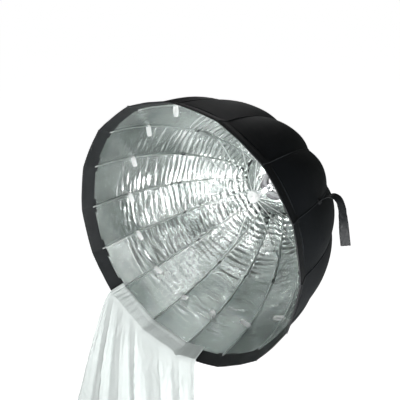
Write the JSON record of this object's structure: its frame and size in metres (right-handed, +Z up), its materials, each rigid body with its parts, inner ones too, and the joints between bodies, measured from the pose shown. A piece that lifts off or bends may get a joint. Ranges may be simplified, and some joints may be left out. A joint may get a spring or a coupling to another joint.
{
  "type": "umbrella reflector",
  "caption": "Deep umbrella-frame light reflector: silver-lined black cloth bowl on folding ribs, bayonet hub for a studio lamp, peeled white front diffuser.",
  "frame": {"origin": "centre of the lamp bore in the bayonet plate's seating face", "axes": "+Y out of the back towards the lamp, so the mouth faces -Y; +Z up with one rib at the top; +X to the right seen from the front"},
  "size_m": [1.0248, 0.7469, 1.6252],
  "materials": {
    "rib_steel": "grey painted sprung steel",
    "stretcher_steel": "light grey",
    "cover_cloth": "black nylon, silver coated inside",
    "hub_plastic": "moulded",
    "plate_aluminium": "turned",
    "screw_steel": "zinc plated",
    "mast_metal": "drawn tube, anodised",
    "runner_plastic": "moulded",
    "button_plastic": "moulded",
    "silver_cloth": "silver coated nylon, ruffled",
    "strap_cloth": "black webbing",
    "white_cloth": "white translucent nylon"
  },
  "bodies": {
    "hub": {"hub_ring": "hub_plastic", "bayonet_plate": "plate_aluminium", "plate_screws": "screw_steel", "mast_bridge": "mast_metal", "light_skirt": "silver_cloth"},
    "mast_tube_outer": {"mast_tube_outer": "mast_metal"},
    "mast_tube_inner": {"mast_tube_inner": "mast_metal"},
    "runner": {"runner": "runner_plastic", "mast_rod": "mast_metal"},
    "release_button": {"release_button": "button_plastic"},
    "rib_01": {"rib_01": "rib_steel", "cover_gore_01": "cover_cloth"},
    "stretcher_01": {"stretcher_01": "stretcher_steel"},
    "rib_02": {"rib_02": "rib_steel", "cover_gore_02": "cover_cloth"},
    "stretcher_02": {"stretcher_02": "stretcher_steel"},
    "rib_03": {"rib_03": "rib_steel", "cover_gore_03": "cover_cloth"},
    "stretcher_03": {"stretcher_03": "stretcher_steel"},
    "rib_04": {"rib_04": "rib_steel", "cover_gore_04": "cover_cloth"},
    "stretcher_04": {"stretcher_04": "stretcher_steel"},
    "rib_05": {"rib_05": "rib_steel", "cover_gore_05": "cover_cloth"},
    "stretcher_05": {"stretcher_05": "stretcher_steel"},
    "rib_06": {"rib_06": "rib_steel", "cover_gore_06": "cover_cloth"},
    "stretcher_06": {"stretcher_06": "stretcher_steel"},
    "rib_07": {"rib_07": "rib_steel", "cover_gore_07": "cover_cloth"},
    "stretcher_07": {"stretcher_07": "stretcher_steel"},
    "rib_08": {"rib_08": "rib_steel", "cover_gore_08": "cover_cloth"},
    "stretcher_08": {"stretcher_08": "stretcher_steel"},
    "rib_09": {"rib_09": "rib_steel", "cover_gore_09": "cover_cloth"},
    "stretcher_09": {"stretcher_09": "stretcher_steel"},
    "rib_10": {"rib_10": "rib_steel", "cover_gore_10": "cover_cloth"},
    "stretcher_10": {"stretcher_10": "stretcher_steel"},
    "rib_11": {"rib_11": "rib_steel", "cover_gore_11": "cover_cloth"},
    "stretcher_11": {"stretcher_11": "stretcher_steel"},
    "rib_12": {"rib_12": "rib_steel", "cover_gore_12": "cover_cloth"},
    "stretcher_12": {"stretcher_12": "stretcher_steel"},
    "rib_13": {"rib_13": "rib_steel", "cover_gore_13": "cover_cloth"},
    "stretcher_13": {"stretcher_13": "stretcher_steel"},
    "rib_14": {"rib_14": "rib_steel", "cover_gore_14": "cover_cloth", "closure_strap": "strap_cloth"},
    "stretcher_14": {"stretcher_14": "stretcher_steel"},
    "rib_15": {"rib_15": "rib_steel", "cover_gore_15": "cover_cloth"},
    "stretcher_15": {"stretcher_15": "stretcher_steel"},
    "rib_16": {"rib_16": "rib_steel", "cover_gore_16": "cover_cloth"},
    "stretcher_16": {"stretcher_16": "stretcher_steel"},
    "front_diffuser": {"front_diffuser": "white_cloth"}
  },
  "joints": [
    {"name": "runner_slide", "type": "slide", "parent": "hub", "child": "runner", "axis": [0, -1, 0], "range_m": [0, 0.26368], "deforming": ["light_skirt"]},
    {"name": "outer_tube_slide", "type": "slide", "parent": "hub", "child": "mast_tube_outer", "axis": [0, -1, 0], "range_m": [0, 0.08839]},
    {"name": "inner_tube_slide", "type": "slide", "parent": "hub", "child": "mast_tube_inner", "axis": [0, -1, 0], "range_m": [0, 0.17629]},
    {"name": "release_button_press", "type": "slide", "parent": "runner", "child": "release_button", "axis": [0, 1, 0], "range_m": [0, 0.004], "stiffness_N_per_m": 800, "springref_m": -0.002},
    {"name": "rib_hinge_01", "type": "hinge", "parent": "hub", "child": "rib_01", "pos_m": [0, -0.018, 0.085], "axis": [1, 0, 0], "range_deg": [0, 34.72], "deforming": ["cover_gore_01"]},
    {"name": "stretcher_hinge_01", "type": "hinge", "parent": "runner", "child": "stretcher_01", "pos_m": [0, -0.18443, 0.022], "axis": [-1, 0, 0], "range_deg": [0, 47.46]},
    {"name": "rib_hinge_02", "type": "hinge", "parent": "hub", "child": "rib_02", "pos_m": [-0.03253, -0.018, 0.07853], "axis": [0.9239, 0, 0.3827], "range_deg": [0, 34.72], "deforming": ["cover_gore_02"]},
    {"name": "stretcher_hinge_02", "type": "hinge", "parent": "runner", "child": "stretcher_02", "pos_m": [-0.00842, -0.18443, 0.02032], "axis": [-0.9239, 0, -0.3827], "range_deg": [0, 47.46]},
    {"name": "rib_hinge_03", "type": "hinge", "parent": "hub", "child": "rib_03", "pos_m": [-0.0601, -0.018, 0.0601], "axis": [0.7071, 0, 0.7071], "range_deg": [0, 34.72], "deforming": ["cover_gore_03"]},
    {"name": "stretcher_hinge_03", "type": "hinge", "parent": "runner", "child": "stretcher_03", "pos_m": [-0.01556, -0.18443, 0.01556], "axis": [-0.7071, 0, -0.7071], "range_deg": [0, 47.46]},
    {"name": "rib_hinge_04", "type": "hinge", "parent": "hub", "child": "rib_04", "pos_m": [-0.07853, -0.018, 0.03253], "axis": [0.3827, 0, 0.9239], "range_deg": [0, 34.72], "deforming": ["cover_gore_04"]},
    {"name": "stretcher_hinge_04", "type": "hinge", "parent": "runner", "child": "stretcher_04", "pos_m": [-0.02032, -0.18443, 0.00842], "axis": [-0.3827, 0, -0.9239], "range_deg": [0, 47.46]},
    {"name": "rib_hinge_05", "type": "hinge", "parent": "hub", "child": "rib_05", "pos_m": [-0.085, -0.018, 0], "axis": [0, 0, 1], "range_deg": [0, 34.72], "deforming": ["cover_gore_05"]},
    {"name": "stretcher_hinge_05", "type": "hinge", "parent": "runner", "child": "stretcher_05", "pos_m": [-0.022, -0.18443, 0], "axis": [0, 0, -1], "range_deg": [0, 47.46]},
    {"name": "rib_hinge_06", "type": "hinge", "parent": "hub", "child": "rib_06", "pos_m": [-0.07853, -0.018, -0.03253], "axis": [-0.3827, 0, 0.9239], "range_deg": [0, 34.72], "deforming": ["cover_gore_06"]},
    {"name": "stretcher_hinge_06", "type": "hinge", "parent": "runner", "child": "stretcher_06", "pos_m": [-0.02032, -0.18443, -0.00842], "axis": [0.3827, 0, -0.9239], "range_deg": [0, 47.46]},
    {"name": "rib_hinge_07", "type": "hinge", "parent": "hub", "child": "rib_07", "pos_m": [-0.0601, -0.018, -0.0601], "axis": [-0.7071, 0, 0.7071], "range_deg": [0, 34.72], "deforming": ["cover_gore_07"]},
    {"name": "stretcher_hinge_07", "type": "hinge", "parent": "runner", "child": "stretcher_07", "pos_m": [-0.01556, -0.18443, -0.01556], "axis": [0.7071, 0, -0.7071], "range_deg": [0, 47.46]},
    {"name": "rib_hinge_08", "type": "hinge", "parent": "hub", "child": "rib_08", "pos_m": [-0.03253, -0.018, -0.07853], "axis": [-0.9239, 0, 0.3827], "range_deg": [0, 34.72], "deforming": ["cover_gore_08"]},
    {"name": "stretcher_hinge_08", "type": "hinge", "parent": "runner", "child": "stretcher_08", "pos_m": [-0.00842, -0.18443, -0.02032], "axis": [0.9239, 0, -0.3827], "range_deg": [0, 47.46]},
    {"name": "rib_hinge_09", "type": "hinge", "parent": "hub", "child": "rib_09", "pos_m": [0, -0.018, -0.085], "axis": [-1, 0, 0], "range_deg": [0, 34.72], "deforming": ["cover_gore_09"]},
    {"name": "stretcher_hinge_09", "type": "hinge", "parent": "runner", "child": "stretcher_09", "pos_m": [0, -0.18443, -0.022], "axis": [1, 0, 0], "range_deg": [0, 47.46]},
    {"name": "rib_hinge_10", "type": "hinge", "parent": "hub", "child": "rib_10", "pos_m": [0.03253, -0.018, -0.07853], "axis": [-0.9239, 0, -0.3827], "range_deg": [0, 34.72], "deforming": ["cover_gore_10"]},
    {"name": "stretcher_hinge_10", "type": "hinge", "parent": "runner", "child": "stretcher_10", "pos_m": [0.00842, -0.18443, -0.02032], "axis": [0.9239, 0, 0.3827], "range_deg": [0, 47.46]},
    {"name": "rib_hinge_11", "type": "hinge", "parent": "hub", "child": "rib_11", "pos_m": [0.0601, -0.018, -0.0601], "axis": [-0.7071, 0, -0.7071], "range_deg": [0, 34.72], "deforming": ["cover_gore_11"]},
    {"name": "stretcher_hinge_11", "type": "hinge", "parent": "runner", "child": "stretcher_11", "pos_m": [0.01556, -0.18443, -0.01556], "axis": [0.7071, 0, 0.7071], "range_deg": [0, 47.46]},
    {"name": "rib_hinge_12", "type": "hinge", "parent": "hub", "child": "rib_12", "pos_m": [0.07853, -0.018, -0.03253], "axis": [-0.3827, 0, -0.9239], "range_deg": [0, 34.72], "deforming": ["cover_gore_12"]},
    {"name": "stretcher_hinge_12", "type": "hinge", "parent": "runner", "child": "stretcher_12", "pos_m": [0.02032, -0.18443, -0.00842], "axis": [0.3827, 0, 0.9239], "range_deg": [0, 47.46]},
    {"name": "rib_hinge_13", "type": "hinge", "parent": "hub", "child": "rib_13", "pos_m": [0.085, -0.018, 0], "axis": [0, 0, -1], "range_deg": [0, 34.72], "deforming": ["cover_gore_13"]},
    {"name": "stretcher_hinge_13", "type": "hinge", "parent": "runner", "child": "stretcher_13", "pos_m": [0.022, -0.18443, 0], "axis": [0, 0, 1], "range_deg": [0, 47.46]},
    {"name": "rib_hinge_14", "type": "hinge", "parent": "hub", "child": "rib_14", "pos_m": [0.07853, -0.018, 0.03253], "axis": [0.3827, 0, -0.9239], "range_deg": [0, 34.72], "deforming": ["cover_gore_14", "closure_strap"]},
    {"name": "stretcher_hinge_14", "type": "hinge", "parent": "runner", "child": "stretcher_14", "pos_m": [0.02032, -0.18443, 0.00842], "axis": [-0.3827, 0, 0.9239], "range_deg": [0, 47.46]},
    {"name": "rib_hinge_15", "type": "hinge", "parent": "hub", "child": "rib_15", "pos_m": [0.0601, -0.018, 0.0601], "axis": [0.7071, 0, -0.7071], "range_deg": [0, 34.72], "deforming": ["cover_gore_15"]},
    {"name": "stretcher_hinge_15", "type": "hinge", "parent": "runner", "child": "stretcher_15", "pos_m": [0.01556, -0.18443, 0.01556], "axis": [-0.7071, 0, 0.7071], "range_deg": [0, 47.46]},
    {"name": "rib_hinge_16", "type": "hinge", "parent": "hub", "child": "rib_16", "pos_m": [0.03253, -0.018, 0.07853], "axis": [0.9239, 0, -0.3827], "range_deg": [0, 34.72], "deforming": ["cover_gore_16"]},
    {"name": "stretcher_hinge_16", "type": "hinge", "parent": "runner", "child": "stretcher_16", "pos_m": [0.00842, -0.18443, 0.02032], "axis": [-0.9239, 0, 0.3827], "range_deg": [0, 47.46]},
    {"name": "diffuser_edge_hinge", "type": "hinge", "parent": "rib_08", "child": "front_diffuser", "pos_m": [-0.17221, -0.67107, -0.41575], "axis": [0.9239, 0, -0.3827], "range_deg": [0, 34.72], "deforming": ["front_diffuser"]}
  ],
  "couplings": [
    {"joint": "outer_tube_slide", "follows": "runner_slide", "ratio": 0.33333},
    {"joint": "inner_tube_slide", "follows": "runner_slide", "ratio": 0.66667},
    {"joint": "rib_hinge_01", "follows": "runner_slide", "rad_per_m": 2.2971},
    {"joint": "stretcher_hinge_01", "follows": "runner_slide", "rad_per_m": 3.1403},
    {"joint": "rib_hinge_02", "follows": "runner_slide", "rad_per_m": 2.2971},
    {"joint": "stretcher_hinge_02", "follows": "runner_slide", "rad_per_m": 3.1403},
    {"joint": "rib_hinge_03", "follows": "runner_slide", "rad_per_m": 2.2971},
    {"joint": "stretcher_hinge_03", "follows": "runner_slide", "rad_per_m": 3.1403},
    {"joint": "rib_hinge_04", "follows": "runner_slide", "rad_per_m": 2.2971},
    {"joint": "stretcher_hinge_04", "follows": "runner_slide", "rad_per_m": 3.1403},
    {"joint": "rib_hinge_05", "follows": "runner_slide", "rad_per_m": 2.2971},
    {"joint": "stretcher_hinge_05", "follows": "runner_slide", "rad_per_m": 3.1403},
    {"joint": "rib_hinge_06", "follows": "runner_slide", "rad_per_m": 2.2971},
    {"joint": "stretcher_hinge_06", "follows": "runner_slide", "rad_per_m": 3.1403},
    {"joint": "rib_hinge_07", "follows": "runner_slide", "rad_per_m": 2.2971},
    {"joint": "stretcher_hinge_07", "follows": "runner_slide", "rad_per_m": 3.1403},
    {"joint": "rib_hinge_08", "follows": "runner_slide", "rad_per_m": 2.2971},
    {"joint": "stretcher_hinge_08", "follows": "runner_slide", "rad_per_m": 3.1403},
    {"joint": "rib_hinge_09", "follows": "runner_slide", "rad_per_m": 2.2971},
    {"joint": "stretcher_hinge_09", "follows": "runner_slide", "rad_per_m": 3.1403},
    {"joint": "rib_hinge_10", "follows": "runner_slide", "rad_per_m": 2.2971},
    {"joint": "stretcher_hinge_10", "follows": "runner_slide", "rad_per_m": 3.1403},
    {"joint": "rib_hinge_11", "follows": "runner_slide", "rad_per_m": 2.2971},
    {"joint": "stretcher_hinge_11", "follows": "runner_slide", "rad_per_m": 3.1403},
    {"joint": "rib_hinge_12", "follows": "runner_slide", "rad_per_m": 2.2971},
    {"joint": "stretcher_hinge_12", "follows": "runner_slide", "rad_per_m": 3.1403},
    {"joint": "rib_hinge_13", "follows": "runner_slide", "rad_per_m": 2.2971},
    {"joint": "stretcher_hinge_13", "follows": "runner_slide", "rad_per_m": 3.1403},
    {"joint": "rib_hinge_14", "follows": "runner_slide", "rad_per_m": 2.2971},
    {"joint": "stretcher_hinge_14", "follows": "runner_slide", "rad_per_m": 3.1403},
    {"joint": "rib_hinge_15", "follows": "runner_slide", "rad_per_m": 2.2971},
    {"joint": "stretcher_hinge_15", "follows": "runner_slide", "rad_per_m": 3.1403},
    {"joint": "rib_hinge_16", "follows": "runner_slide", "rad_per_m": 2.2971},
    {"joint": "stretcher_hinge_16", "follows": "runner_slide", "rad_per_m": 3.1403},
    {"joint": "diffuser_edge_hinge", "follows": "runner_slide", "rad_per_m": 2.2971}
  ]
}
